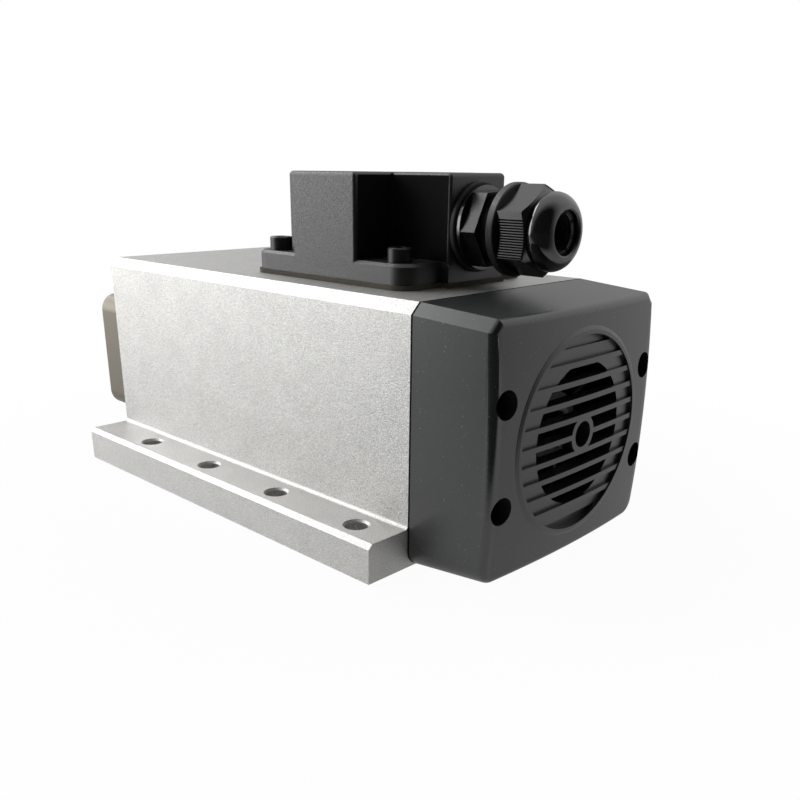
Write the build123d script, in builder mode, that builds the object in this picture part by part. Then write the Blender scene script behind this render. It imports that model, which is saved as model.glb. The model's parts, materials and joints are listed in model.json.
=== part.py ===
from build123d import *
from math import cos, pi, radians, sin, sqrt, tan
import os

# Air-cooled motor spindle. Lengths are in millimetres.
# +X runs along the spindle axis from the tool nose to the fan cover, +Z is up.
# The origin is the centre of the foot bolt pattern, on the mounting face.

# Housing extrusion and its feet
body_length = 150.0
body_width = 80.0
body_height = 73.0
body_edge_chamfer = 3.0
axis_height = 36.5
stator_bore = 60.0
foot_span = 110.0
foot_height = 11.5
foot_edge_chamfer = 1.4
foot_root_fillet = 1.2
foot_hole_pitch = 35.5
foot_holes_per_side = 4
foot_hole_diameter = 6.6
foot_hole_rim = 0.6
foot_rear_margin = 12.5
duct_width = 10.5
duct_height = 9.0
duct_corner = 2.0
duct_wall = 4.0
seat_clearance = 0.05
thread_clearance = 0.05

# Cap screws, as diameter of thread, head diameter and head height
m4_thread = 4.0
m4_head = 7.0
m4_head_height = 4.0
m4_socket = 3.0
m3_thread = 3.0
m3_head = 5.5
m3_socket = 2.0
screw_hole_clearance = 0.25
screw_edge = 0.3
countersink_gap = 0.1
head_sink = 0.05
tapped_depth = 12.0
screw_engagement = 9.0

# Front bearing block and bearing cap
block_thickness = 15.5
block_width = 76.0
block_height = 43.2
block_corner = 6.0
block_edge = 1.2
block_spigot = 12.0
block_screw_y = 31.0
block_screw_z = 16.0
block_counterbore = 8.0
block_counterbore_depth = 4.6
block_passage_gap = 2.5
cap_diameter = 46.0
cap_thickness = 4.0
cap_spigot = 2.0
cap_screw_circle = 38.5
cap_screws = 4
cap_edge = 0.8
cap_tapped_depth = 8.0
cap_screw_engagement = 6.0

# Bearings: a front pair and a rear single
front_bearing_outer = 32.0
front_bearing_inner = 15.0
front_bearing_width = 9.0
front_bearing_count = 2
rear_bearing_outer = 28.0
rear_bearing_inner = 12.0
rear_bearing_width = 8.0
bearing_ring = 2.4
bearing_shield = 0.6
bearing_shield_recess = 0.2
running_gap = 0.3

# Shaft
shaft_nose_diameter = 14.0
shaft_nose_length = 9.5
shaft_neck_diameter = 14.9
shaft_flats = 12.5
shaft_flats_length = 6.0
shaft_shoulder = 19.0
shaft_core_diameter = 22.0
shaft_fan_diameter = 10.0
shaft_fit = 0.02
shaft_step = 4.0
shaft_end_length = 2.0
shaft_spring_relief = 0.3
flats_run_out = 1.0
socket_depth = 15.0
draw_bore = 6.8
labyrinth_diameter = 30.0
labyrinth_thickness = 3.0
labyrinth_hub = 19.4
labyrinth_edge = 1.0
pin_holes = 4
pin_hole_diameter = 2.5
pin_hole_inset = 3.4
pin_hole_floor = 0.8
cap_bore = 20.4

# Collet and its nut
socket_mouth = 11.3
collet_half_angle = 8.0
collet_reach = 3.4
collet_length = 18.0
collet_head = 11.5
collet_face_length = 2.4
collet_face_angle = 30.0
collet_rim = 0.6
collet_groove_depth = 0.9
collet_groove_end = 4.8
collet_taper_start = 5.4
collet_bore = 6.0
collet_slots = 6
collet_slot_width = 0.6
collet_slot_end = 2.7
collet_slot_turn = 7.5
collet_clearance = 0.05
nut_length = 11.5
nut_diameter = 19.0
nut_across_flats = 17.0
nut_mouth = 9.2
nut_lead = 1.6
nut_lip = 0.4
nut_nose = 1.6
nut_nose_drop = 2.2
nut_skirt = 2.8
nut_edge = 0.6
nut_fit = 0.1
nut_relief = 0.35

# Stator and rotor
stator_length = 70.0
stator_start = 36.0
stator_inner = 33.0
stator_slots = 18
slot_width = 3.0
slot_depth = 6.8
slot_opening = 1.4
slot_lip = 1.0
slot_liner = 0.2
winding_overhang = 12.0
winding_wall = 8.0
winding_round = 3.0
winding_lap = 1.0
air_gap = 0.4
cage_ring_length = 5.0
cage_ring_wall = 4.0
cage_step = 0.4

# Rear end shield and fan
shield_plate = 5.0
shield_side_gap = 0.8
shield_height = 40.0
shield_corner = 6.0
shield_spigot = 12.0
shield_bore = 17.0
shield_ring_wall = 5.0
spring_thickness = 0.5
spring_height = 1.2
spring_width = 4.0
spring_side_gap = 0.2
fan_diameter = 56.0
fan_hub = 20.0
fan_length = 11.0
fan_plate = 1.8
fan_blades = 9
fan_blade_thickness = 1.5
fan_blade_sweep = 26.0
fan_blade_bow = 0.28
fan_blade_root_lap = 0.4
fan_blade_tip_gap = 0.8
fan_gap = 2.5
circlip_thickness = 1.0
circlip_wall = 2.0
circlip_groove = 0.6
circlip_play = 0.1
circlip_opening = 3.0

# Fan cover
cover_length = 28.0
cover_draft = 4.0
cover_wall = 2.6
cover_rear_wall = 3.8
cover_dome_radius = 400.0
cover_bottom_round = 5.0
cover_rear_round = 2.0
cover_screw_y = 33.4
cover_screw_z = 14.0
cover_post = 11.0
cover_counterbore = 7.6
cover_head_seat = 11.0
grille_diameter = 54.8
grille_open_diameter = 40.0
grille_depth = 2.0
grille_bars = 9
grille_pitch = 5.0
grille_bar = 1.5
grille_hub = 10.7
grille_hub_hole = 7.35
grille_rim_width = 0.9
grille_rim_height = 0.35

# Junction box on the top face
box_base_length = 66.0
box_base_width = 54.0
box_base_corner = 5.5
box_ear_thickness = 5.7
box_height = 29.2
box_cross_length = 27.0
box_lobe_width = 24.0
box_lobe_overhang = 2.7
box_wall = 2.5
box_boss_length = 11.5
box_edge = 1.2
box_ear_edge = 0.8
box_cross_corner = 0.8
box_from_front = 102.3
box_screw_x = 26.0
box_screw_y = 21.5
gasket_thickness = 1.3
gasket_margin = 0.7
lead_hole_length = 18.0
lead_hole_width = 8.0
lead_diameter = 2.2
lead_pitch = 6.0
lead_count = 3
lead_bend = 3.0
lead_rise = 6.5
lead_start_gap = 0.1
lead_hole_from_stator = 9.0
terminal_poles = 5
terminal_length = 14.0
terminal_height = 12.0
terminal_ear = 6.0
terminal_gap = 0.1
terminal_ear_thickness = 3.0
terminal_way_depth = 3.0
terminal_partition = 1.4
terminal_from_hole = 2.0
terminal_tapped_depth = 6.0
terminal_screw_length = 8.0
terminal_screw_head_height = 2.4
clamp_screw = 3.8
clamp_screw_height = 1.6
clamp_screw_slot = 0.7

# Cable gland
gland_rise = 16.0
gland_thread = 18.0
gland_washer_diameter = 24.6
gland_washer_thickness = 1.6
gland_flange = 22.9
gland_flange_thickness = 1.35
gland_hex = 19.6
gland_hex_length = 5.0
gland_hex_turn = 3.0
gland_stub_length = 10.0
gland_front_thread = 8.65
gland_bore = 10.4
gland_edge = 0.5
gland_socket = 14.4
gland_socket_depth = 7.8
gland_nut_gap = 4.45
gland_collar = 24.8
gland_collar_length = 2.6
gland_nut_hex = 20.9
gland_nut_turn = 4.0
gland_nut_length = 17.8
gland_nut_hex_length = 7.85
gland_mouth = 12.6
gland_dome = 20.6
gland_dome_round = 4.6
gland_dome_bulge = 0.15
gland_neck = 19.2
gland_shoulder = 1.2
gland_corner_trim = 0.2
gland_lip = 1.2
gland_ribs = 15
gland_rib_pitch = 0.68
gland_rib_groove = 0.4
gland_rib_depth = 0.5
gland_rib_facets = 3
gland_seal_bore = 9.4
gland_seal_lead = 3.0
gland_seal_recess = 0.6
gland_claw_fingers = 8
gland_claw_slit = 1.1
gland_claw_lead = 2.6
gland_claw_inset = 2.6
gland_claw_ring = 1.6
gland_claw_wall = 1.0
gland_claw_tip = 0.7
gland_cone_lead = 3.0
gland_cone_gap = 0.3
gland_tip_gap = 0.5
gland_insert_fit = 0.05
gland_slack = 0.25
gland_layer_gap = 0.15

# Places worked out from the sizes above
foot_hole_span = (foot_span + body_width) / 2
x_rear = foot_hole_pitch * (foot_holes_per_side - 1) / 2 + foot_rear_margin
x_front = x_rear - body_length
x_block = x_front - block_thickness
x_cap = x_block - cap_thickness
x_bearing = x_block + cap_spigot
x_bearing_end = x_bearing + front_bearing_count * front_bearing_width
x_stator = x_front + stator_start
x_stator_end = x_stator + stator_length
x_shield = x_rear + shield_plate
x_rear_bearing_end = x_rear - spring_height
x_rear_bearing = x_rear_bearing_end - rear_bearing_width
x_labyrinth = x_cap - running_gap - labyrinth_thickness
x_flats = x_labyrinth - shaft_flats_length
x_nose = x_flats - shaft_nose_length
x_fan = x_shield + fan_gap
x_cover_end = x_rear + cover_length
shield_width = body_width - 2 * (cover_wall + shield_side_gap)
x_box = x_front + box_from_front
x_box_wall = x_box + box_base_length / 2 + box_lobe_overhang
x_leads = x_stator_end + lead_hole_from_stator
x_terminal = x_leads - lead_hole_width / 2 - terminal_from_hole - terminal_length / 2
terminal_screw_y = (terminal_poles * lead_pitch + terminal_ear) / 2
z_gasket = body_height + gasket_thickness
z_ear = z_gasket + box_ear_thickness
z_gland = body_height + gland_rise

spindle_axis = Axis((0, 0, axis_height), (1, 0, 0))
gland_axis = Axis((0, 0, z_gland), (1, 0, 0))
spindle_section = Plane(origin=(0, 0, axis_height), x_dir=(1, 0, 0), z_dir=(0, -1, 0))
gland_section = Plane(origin=(0, 0, z_gland), x_dir=(1, 0, 0), z_dir=(0, -1, 0))


def across_spindle(x):
    """Plane square to the spindle at x, centred on its axis, with local axes along +Y and +Z."""
    return Plane(origin=(x, 0, axis_height), x_dir=(0, 1, 0), z_dir=(1, 0, 0))


def across_gland(x):
    """Plane square to the cable gland at x, centred on its axis."""
    return Plane(origin=(x, 0, z_gland), x_dir=(0, 1, 0), z_dir=(1, 0, 0))


def four_places(x, y, z, facing):
    """Screw places at plus and minus y and z about the axis, heads towards facing (+1 or -1)."""
    return [
        Plane(origin=(x, side * y, axis_height + level * z), x_dir=(0, 1, 0), z_dir=(facing, 0, 0))
        for side in (-1, 1)
        for level in (-1, 1)
    ]


def socket_cap_screw(thread, head, head_height, socket, length):
    """Screw standing on its head seat: head towards +Z, shank towards -Z."""
    with BuildPart() as screw:
        with BuildSketch():
            Circle(thread / 2)
        extrude(amount=-length)
        with BuildSketch():
            Circle(head / 2)
        extrude(amount=head_height)
        chamfer(screw.edges().group_by(Axis.Z)[-1], screw_edge)
        with BuildSketch(Plane.XY.offset(head_height)):
            RegularPolygon(socket / 2, 6, major_radius=False)
        extrude(amount=-head_height / 2, mode=Mode.SUBTRACT)
    return screw.part


def countersunk_screw(thread, head, socket, length):
    """Screw with its flat head top at z = 0 and its shank towards -Z."""
    sink = (head - thread) / 2
    with BuildPart() as screw:
        with BuildSketch(Plane.XZ):
            Polygon(
                (0, 0), (head / 2, 0), (thread / 2, -sink), (thread / 2, -length), (0, -length),
                align=None,
            )
        revolve(axis=Axis.Z)
        with BuildSketch():
            RegularPolygon(socket / 2, 6, major_radius=False)
        extrude(amount=-sink * 0.8, mode=Mode.SUBTRACT)
    return screw.part


# Housing extrusion with bore, corner air ducts and drilled feet
with BuildPart() as motor_body:
    with BuildSketch(Plane.YZ.offset(x_front)) as profile:
        with Locations((0, body_height / 2)):
            Rectangle(body_width, body_height)
        chamfer(profile.vertices().group_by(Axis.Y)[-1], body_edge_chamfer)
        with Locations((0, foot_height / 2)):
            Rectangle(foot_span, foot_height)
        foot_tops = profile.vertices().filter_by(
            lambda v: abs(v.Y - foot_height) < 0.01 and abs(v.X) > foot_span / 2 - 0.01
        )
        foot_roots = profile.vertices().filter_by(
            lambda v: abs(v.Y - foot_height) < 0.01 and abs(v.X) < body_width / 2 + 0.01
        )
        chamfer(foot_tops, foot_edge_chamfer)
        fillet(foot_roots, foot_root_fillet)
        with Locations((0, axis_height)):
            Circle(stator_bore / 2, mode=Mode.SUBTRACT)
        duct_y = body_width / 2 - duct_wall - duct_width / 2
        duct_low = duct_wall + duct_height / 2
        duct_high = body_height - duct_wall - duct_height / 2
        with Locations((-duct_y, duct_low), (duct_y, duct_low), (-duct_y, duct_high), (duct_y, duct_high)):
            RectangleRounded(duct_width, duct_height, duct_corner, mode=Mode.SUBTRACT)
    extrude(amount=body_length)
    with Locations(Plane.XY.offset(foot_height)):
        with GridLocations(foot_hole_pitch, foot_hole_span, foot_holes_per_side, 2):
            CounterSinkHole(
                radius=foot_hole_diameter / 2,
                counter_sink_radius=foot_hole_diameter / 2 + foot_hole_rim,
                depth=foot_height,
            )
    tapped_radius = m4_thread / 2 + thread_clearance
    with BuildSketch(across_spindle(x_front)):
        with GridLocations(2 * block_screw_y, 2 * block_screw_z, 2, 2):
            Circle(tapped_radius)
    extrude(amount=tapped_depth, mode=Mode.SUBTRACT)
    with BuildSketch(across_spindle(x_rear)):
        with GridLocations(2 * cover_screw_y, 2 * cover_screw_z, 2, 2):
            Circle(tapped_radius)
    extrude(amount=-tapped_depth, mode=Mode.SUBTRACT)
    with BuildSketch(Plane.XY.offset(body_height)):
        with Locations((x_box, 0)):
            with GridLocations(2 * box_screw_x, 2 * box_screw_y, 2, 2):
                Circle(tapped_radius)
    extrude(amount=-tapped_depth, mode=Mode.SUBTRACT)
    with BuildSketch(Plane.XY.offset(body_height)):
        with Locations((x_leads, 0)):
            SlotOverall(lead_hole_length, lead_hole_width, rotation=90)
    extrude(amount=-(body_height - axis_height), mode=Mode.SUBTRACT)
    with BuildSketch(Plane.XY.offset(body_height)):
        with Locations((x_terminal, -terminal_screw_y), (x_terminal, terminal_screw_y)):
            Circle(m3_thread / 2 + thread_clearance)
    extrude(amount=-terminal_tapped_depth, mode=Mode.SUBTRACT)

# Front bearing block: rounded flange, spigot in the bore and the bearing seat
block_bore = front_bearing_outer / 2 + seat_clearance
with BuildPart() as front_bearing_block:
    with BuildSketch(across_spindle(x_block)):
        RectangleRounded(block_width, block_height, block_corner)
    extrude(amount=block_thickness)
    chamfer(front_bearing_block.faces().sort_by(Axis.X)[0].edges(), block_edge)
    with BuildSketch(across_spindle(x_front)):
        Circle(stator_bore / 2 - seat_clearance)
    extrude(amount=block_spigot)
    with BuildSketch(across_spindle(x_block)):
        Circle(block_bore)
    extrude(amount=x_bearing_end - x_block, mode=Mode.SUBTRACT)
    with BuildSketch(across_spindle(x_block)):
        Circle(shaft_shoulder / 2 + block_passage_gap)
    extrude(amount=block_thickness + block_spigot, mode=Mode.SUBTRACT)
    with Locations(*four_places(x_block, block_screw_y, block_screw_z, -1)):
        CounterBoreHole(
            radius=m4_thread / 2 + screw_hole_clearance,
            counter_bore_radius=block_counterbore / 2,
            counter_bore_depth=block_counterbore_depth,
            depth=block_thickness,
        )
    with BuildSketch(across_spindle(x_block)):
        with PolarLocations(cap_screw_circle / 2, cap_screws, start_angle=45):
            Circle(m3_thread / 2 + thread_clearance)
    extrude(amount=cap_tapped_depth, mode=Mode.SUBTRACT)

block_seat = x_block + block_counterbore_depth
block_screw_length = x_front - block_seat + screw_engagement
with BuildPart() as front_block_screws:
    with Locations(*four_places(block_seat, block_screw_y, block_screw_z, -1)):
        add(socket_cap_screw(m4_thread, m4_head, m4_head_height, m4_socket, block_screw_length))

with BuildPart() as front_bearing_cap:
    with BuildSketch(across_spindle(x_cap)):
        Circle(cap_diameter / 2)
    extrude(amount=cap_thickness)
    chamfer(front_bearing_cap.faces().sort_by(Axis.X)[0].edges(), cap_edge)
    with BuildSketch(across_spindle(x_block)):
        Circle(front_bearing_outer / 2)
    extrude(amount=cap_spigot)
    with BuildSketch(across_spindle(x_block + cap_spigot)):
        Circle(front_bearing_outer / 2 - bearing_ring)
    extrude(amount=-cap_spigot, mode=Mode.SUBTRACT)
    with BuildSketch(across_spindle(x_cap)):
        Circle(cap_bore / 2)
    extrude(amount=cap_thickness, mode=Mode.SUBTRACT)
    cap_screw_places = Plane(origin=(x_cap, 0, axis_height), x_dir=(0, 1, 0), z_dir=(-1, 0, 0))
    with Locations(cap_screw_places):
        with PolarLocations(cap_screw_circle / 2, cap_screws, start_angle=45):
            CounterSinkHole(
                radius=m3_thread / 2 + screw_hole_clearance,
                counter_sink_radius=m3_head / 2 + countersink_gap,
                depth=cap_thickness,
                counter_sink_angle=90,
            )

with BuildPart() as front_cap_screws:
    with Locations(cap_screw_places.offset(-head_sink)):
        with PolarLocations(cap_screw_circle / 2, cap_screws, start_angle=45):
            add(
                countersunk_screw(
                    m3_thread, m3_head, m3_socket, cap_thickness + cap_screw_engagement
                )
            )


def bearing_outer_ring(x, width, outer, inner):
    """Outer ring with a shield at both faces."""
    with BuildPart() as ring:
        with BuildSketch(across_spindle(x)):
            Circle(outer / 2)
            Circle(outer / 2 - bearing_ring, mode=Mode.SUBTRACT)
        extrude(amount=width)
        with BuildSketch(across_spindle(x + bearing_shield_recess)):
            Circle(outer / 2 - bearing_ring)
            Circle(inner / 2 + bearing_ring + running_gap, mode=Mode.SUBTRACT)
        extrude(amount=bearing_shield)
        with BuildSketch(across_spindle(x + width - bearing_shield_recess)):
            Circle(outer / 2 - bearing_ring)
            Circle(inner / 2 + bearing_ring + running_gap, mode=Mode.SUBTRACT)
        extrude(amount=-bearing_shield)
    return ring.part


def bearing_inner_ring(x, width, inner):
    """Plain inner ring that turns with the shaft."""
    with BuildPart() as ring:
        with BuildSketch(across_spindle(x)):
            Circle(inner / 2 + bearing_ring)
            Circle(inner / 2, mode=Mode.SUBTRACT)
        extrude(amount=width)
    return ring.part


with BuildPart() as front_bearing_outer_rings:
    for number in range(front_bearing_count):
        add(
            bearing_outer_ring(
                x_bearing + number * front_bearing_width,
                front_bearing_width,
                front_bearing_outer,
                front_bearing_inner,
            )
        )

with BuildPart() as front_bearing_inner_rings:
    for number in range(front_bearing_count):
        add(
            bearing_inner_ring(
                x_bearing + number * front_bearing_width, front_bearing_width, front_bearing_inner
            )
        )

with BuildPart() as rear_bearing_outer_ring:
    add(bearing_outer_ring(x_rear_bearing, rear_bearing_width, rear_bearing_outer, rear_bearing_inner))

with BuildPart() as rear_bearing_inner_ring:
    add(bearing_inner_ring(x_rear_bearing, rear_bearing_width, rear_bearing_inner))

# Stator: slotted laminations, with windings that fill the slots and bulge at both ends
slot_centre = stator_inner / 2 + slot_lip + slot_depth / 2
with BuildPart() as stator_core:
    with BuildSketch(across_spindle(x_stator)):
        Circle(stator_bore / 2 - seat_clearance)
        Circle(stator_inner / 2, mode=Mode.SUBTRACT)
        with PolarLocations(slot_centre, stator_slots):
            Rectangle(slot_depth, slot_width, mode=Mode.SUBTRACT)
        with PolarLocations(stator_inner / 2 + slot_lip / 2, stator_slots):
            Rectangle(slot_lip * 2, slot_opening, mode=Mode.SUBTRACT)
    extrude(amount=stator_length)

winding_inner = slot_centre - winding_wall / 2
with BuildPart() as stator_windings:
    for x_end in (x_stator - winding_overhang, x_stator_end + seat_clearance):
        with BuildSketch(across_spindle(x_end)):
            Circle(winding_inner + winding_wall)
            Circle(winding_inner, mode=Mode.SUBTRACT)
        extrude(amount=winding_overhang - seat_clearance)
    outer_ends = stator_windings.edges().filter_by(GeomType.CIRCLE).group_by(Axis.X)
    fillet(outer_ends[0], winding_round)
    outer_ends = stator_windings.edges().filter_by(GeomType.CIRCLE).group_by(Axis.X)
    fillet(outer_ends[-1], winding_round)
    with BuildSketch(across_spindle(x_stator - winding_lap)):
        with PolarLocations(slot_centre, stator_slots):
            Rectangle(slot_depth - 2 * slot_liner, slot_width - 2 * slot_liner)
    extrude(amount=stator_length + 2 * winding_lap)

# Rotor: laminated core with a cast cage, pressed on the shaft
rotor_radius = stator_inner / 2 - air_gap
cage_radius = rotor_radius - cage_step
with BuildPart() as rotor_core:
    with BuildSketch(across_spindle(x_stator)):
        Circle(rotor_radius)
        Circle(shaft_core_diameter / 2, mode=Mode.SUBTRACT)
    extrude(amount=stator_length)

with BuildPart() as rotor_cage_rings:
    for x_ring in (x_stator - cage_ring_length, x_stator_end):
        with BuildSketch(across_spindle(x_ring)):
            Circle(cage_radius)
            Circle(cage_radius - cage_ring_wall, mode=Mode.SUBTRACT)
        extrude(amount=cage_ring_length)

# Shaft: collet socket in the nose, bearing seats, rotor seat and fan seat
collet_slope = tan(radians(collet_half_angle))
x_shaft_end = x_fan + fan_length + circlip_thickness + shaft_end_length
shaft_outline = [
    (x_nose, 0),
    (x_nose, shaft_nose_diameter / 2 - thread_clearance),
    (x_flats, shaft_nose_diameter / 2 - thread_clearance),
    (x_flats, shaft_neck_diameter / 2),
    (x_bearing, shaft_neck_diameter / 2),
    (x_bearing, front_bearing_inner / 2 - shaft_fit),
    (x_bearing_end, front_bearing_inner / 2 - shaft_fit),
    (x_bearing_end, shaft_shoulder / 2),
    (x_stator - cage_ring_length - shaft_step, shaft_shoulder / 2),
    (x_stator - cage_ring_length, shaft_core_diameter / 2 - shaft_fit),
    (x_stator_end + cage_ring_length, shaft_core_diameter / 2 - shaft_fit),
    (x_stator_end + cage_ring_length + shaft_step, rear_bearing_inner / 2 + bearing_ring),
    (x_rear_bearing, rear_bearing_inner / 2 + bearing_ring),
    (x_rear_bearing, rear_bearing_inner / 2 - shaft_fit),
    (x_rear_bearing_end, rear_bearing_inner / 2 - shaft_fit),
    (x_rear_bearing_end, rear_bearing_inner / 2 - shaft_spring_relief),
    (x_fan, rear_bearing_inner / 2 - shaft_spring_relief),
    (x_fan, shaft_fan_diameter / 2 - shaft_fit),
    (x_shaft_end, shaft_fan_diameter / 2 - shaft_fit),
    (x_shaft_end, 0),
]
groove_floor = shaft_fan_diameter / 2 - circlip_groove
x_circlip = x_fan + fan_length + circlip_play
with BuildPart() as rotor_shaft:
    with BuildSketch(spindle_section):
        Polygon(*shaft_outline, align=None)
        Polygon(
            (x_nose, 0),
            (x_nose, socket_mouth / 2),
            (x_nose + socket_depth, socket_mouth / 2 - socket_depth * collet_slope),
            (x_nose + socket_depth, draw_bore / 2),
            (x_nose + 2 * socket_depth, draw_bore / 2),
            (x_nose + 2 * socket_depth, 0),
            align=None,
            mode=Mode.SUBTRACT,
        )
        with Locations((x_circlip + circlip_thickness / 2, shaft_fan_diameter / 2)):
            Rectangle(circlip_thickness + circlip_play, 2 * circlip_groove, mode=Mode.SUBTRACT)
    revolve(axis=spindle_axis)
    with BuildSketch(across_spindle(x_flats)):
        with Locations((0, shaft_flats), (0, -shaft_flats)):
            Rectangle(shaft_neck_diameter * 2, shaft_flats)
    extrude(amount=shaft_flats_length - flats_run_out, mode=Mode.SUBTRACT)

with BuildPart() as labyrinth_nut:
    with BuildSketch(spindle_section):
        Polygon(
            (x_labyrinth, shaft_neck_diameter / 2 + thread_clearance),
            (x_labyrinth, labyrinth_diameter / 2 - labyrinth_edge),
            (x_labyrinth + labyrinth_edge, labyrinth_diameter / 2),
            (x_labyrinth + labyrinth_thickness, labyrinth_diameter / 2),
            (x_labyrinth + labyrinth_thickness, labyrinth_hub / 2),
            (x_bearing, labyrinth_hub / 2),
            (x_bearing, shaft_neck_diameter / 2 + thread_clearance),
            align=None,
        )
    revolve(axis=spindle_axis)
    with BuildSketch(across_spindle(x_labyrinth)):
        with PolarLocations(labyrinth_diameter / 2 - pin_hole_inset, pin_holes):
            Circle(pin_hole_diameter / 2)
    extrude(amount=labyrinth_thickness - pin_hole_floor, mode=Mode.SUBTRACT)

# Collet: slotted sleeve whose taper seats in the shaft and whose head the nut draws in
x_collet = x_nose - collet_reach
x_collet_end = x_collet + collet_length
head_radius = collet_head / 2
groove_radius = head_radius - collet_groove_depth
face_radius = head_radius - collet_face_length * tan(radians(collet_face_angle))
x_head_end = x_collet + collet_face_length + collet_rim
taper_start = x_collet + collet_taper_start
taper_radius = socket_mouth / 2 - collet_clearance - (taper_start - x_nose) * collet_slope
tail_radius = taper_radius - (x_collet_end - taper_start) * collet_slope
with BuildPart() as collet:
    with BuildSketch(spindle_section):
        Polygon(
            (x_collet, collet_bore / 2),
            (x_collet, face_radius),
            (x_collet + collet_face_length, head_radius),
            (x_head_end, head_radius),
            (x_head_end, groove_radius),
            (x_collet + collet_groove_end, groove_radius),
            (taper_start, taper_radius),
            (x_collet_end, tail_radius),
            (x_collet_end, collet_bore / 2),
            align=None,
        )
    revolve(axis=spindle_axis)
    slot_reach = collet_length - collet_slot_end
    with BuildSketch(across_spindle(x_collet)):
        with PolarLocations(collet_head / 2, collet_slots, start_angle=collet_slot_turn):
            Rectangle(collet_head, collet_slot_width)
    extrude(amount=slot_reach, mode=Mode.SUBTRACT)
    with BuildSketch(across_spindle(x_collet_end)):
        between_slots = collet_slot_turn + 180 / collet_slots
        with PolarLocations(collet_head / 2, collet_slots, start_angle=between_slots):
            Rectangle(collet_head, collet_slot_width)
    extrude(amount=-slot_reach, mode=Mode.SUBTRACT)

x_nut = x_collet - nut_lead
x_nut_end = x_nut + nut_length
nut_thread = shaft_nose_diameter / 2 + thread_clearance
with BuildPart() as collet_nut:
    with BuildSketch(spindle_section):
        Polygon(
            (x_nut, nut_mouth / 2),
            (x_nut, nut_diameter / 2 - nut_nose_drop),
            (x_nut + nut_nose, nut_diameter / 2),
            (x_nut_end - nut_edge, nut_diameter / 2),
            (x_nut_end, nut_diameter / 2 - nut_edge),
            (x_nut_end, nut_thread),
            (x_nose, nut_thread),
            (x_nose, head_radius + nut_relief),
            (x_collet + collet_face_length, head_radius + nut_fit),
            (x_collet, face_radius + nut_fit),
            (x_collet - nut_lip, nut_mouth / 2),
            align=None,
        )
    revolve(axis=spindle_axis)
    with BuildSketch(across_spindle(x_nut + nut_nose)):
        Circle(nut_diameter)
        RegularPolygon(nut_across_flats / 2, 6, major_radius=False, mode=Mode.SUBTRACT)
    extrude(amount=nut_length - nut_nose - nut_skirt, mode=Mode.SUBTRACT)

# Rear end shield with its bearing and preload spring
with BuildPart() as rear_end_shield:
    with BuildSketch(across_spindle(x_rear)):
        RectangleRounded(shield_width, shield_height, shield_corner)
    extrude(amount=shield_plate)
    with BuildSketch(across_spindle(x_rear)):
        Circle(stator_bore / 2 - seat_clearance)
    extrude(amount=-shield_spigot)
    with BuildSketch(across_spindle(x_rear)):
        Circle(stator_bore / 2 - shield_ring_wall)
        Circle(rear_bearing_outer / 2 + shield_ring_wall, mode=Mode.SUBTRACT)
    extrude(amount=-shield_spigot, mode=Mode.SUBTRACT)
    with BuildSketch(across_spindle(x_rear)):
        Circle(rear_bearing_outer / 2 + seat_clearance)
    extrude(amount=-shield_spigot, mode=Mode.SUBTRACT)
    with BuildSketch(across_spindle(x_rear)):
        Circle(shield_bore / 2)
    extrude(amount=shield_plate, mode=Mode.SUBTRACT)
    with BuildSketch(across_spindle(x_rear)):
        with GridLocations(2 * cover_screw_y, 2 * cover_screw_z, 2, 2):
            Circle(m4_thread / 2 + screw_hole_clearance)
    extrude(amount=shield_plate, mode=Mode.SUBTRACT)

spring_outer = rear_bearing_outer / 2 - spring_side_gap
with BuildPart() as preload_spring:
    with BuildSketch(spindle_section):
        Polygon(
            (x_rear_bearing_end, spring_outer),
            (x_rear_bearing_end + spring_thickness, spring_outer),
            (x_rear, spring_outer - spring_width),
            (x_rear - spring_thickness, spring_outer - spring_width),
            align=None,
        )
    revolve(axis=spindle_axis)

# Cooling fan on the shaft end, kept by a circlip
blade_root = fan_hub / 2 - fan_blade_root_lap
blade_tip = fan_diameter / 2 - fan_blade_tip_gap
blade_middle = (blade_root + blade_tip) / 2
blade_sweep = radians(fan_blade_sweep)
blade_bow = fan_blade_bow * blade_sweep
blade_line = ThreePointArc(
    (blade_root, 0),
    (blade_middle * cos(blade_bow), -blade_middle * sin(blade_bow)),
    (blade_tip * cos(blade_sweep), -blade_tip * sin(blade_sweep)),
)
with BuildPart() as cooling_fan:
    with BuildSketch(across_spindle(x_fan)):
        Circle(fan_diameter / 2)
    extrude(amount=fan_plate)
    with BuildSketch(across_spindle(x_fan)):
        Circle(fan_hub / 2)
        with PolarLocations(0, fan_blades):
            SlotArc(blade_line, fan_blade_thickness)
    extrude(amount=fan_length)
    with BuildSketch(across_spindle(x_fan)):
        Circle(shaft_fan_diameter / 2)
    extrude(amount=fan_length, mode=Mode.SUBTRACT)

with BuildPart() as fan_circlip:
    with BuildSketch(across_spindle(x_circlip)):
        Circle(groove_floor + circlip_wall)
        Circle(groove_floor + seat_clearance, mode=Mode.SUBTRACT)
        with Locations((0, -groove_floor - circlip_wall / 2)):
            Rectangle(circlip_opening, 2 * circlip_wall, mode=Mode.SUBTRACT)
    extrude(amount=circlip_thickness)

# Fan cover: drafted shell with a domed rear face, screw posts and the air grille
dome_centre = x_cover_end - cover_dome_radius
cover_shrink = cover_length * tan(radians(cover_draft))
seam_away = (0, 0, 180)


def cover_outline(x, margin):
    """Outline of the cover at x, margin inside the housing's own outline."""
    with BuildSketch(Plane.YZ.offset(x)) as outline:
        with Locations((0, body_height / 2)):
            Rectangle(body_width - 2 * margin, body_height - 2 * margin)
        chamfer(outline.vertices().group_by(Axis.Y)[-1], body_edge_chamfer)
        fillet(outline.vertices().group_by(Axis.Y)[0], cover_bottom_round)
    return outline.sketch


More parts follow.
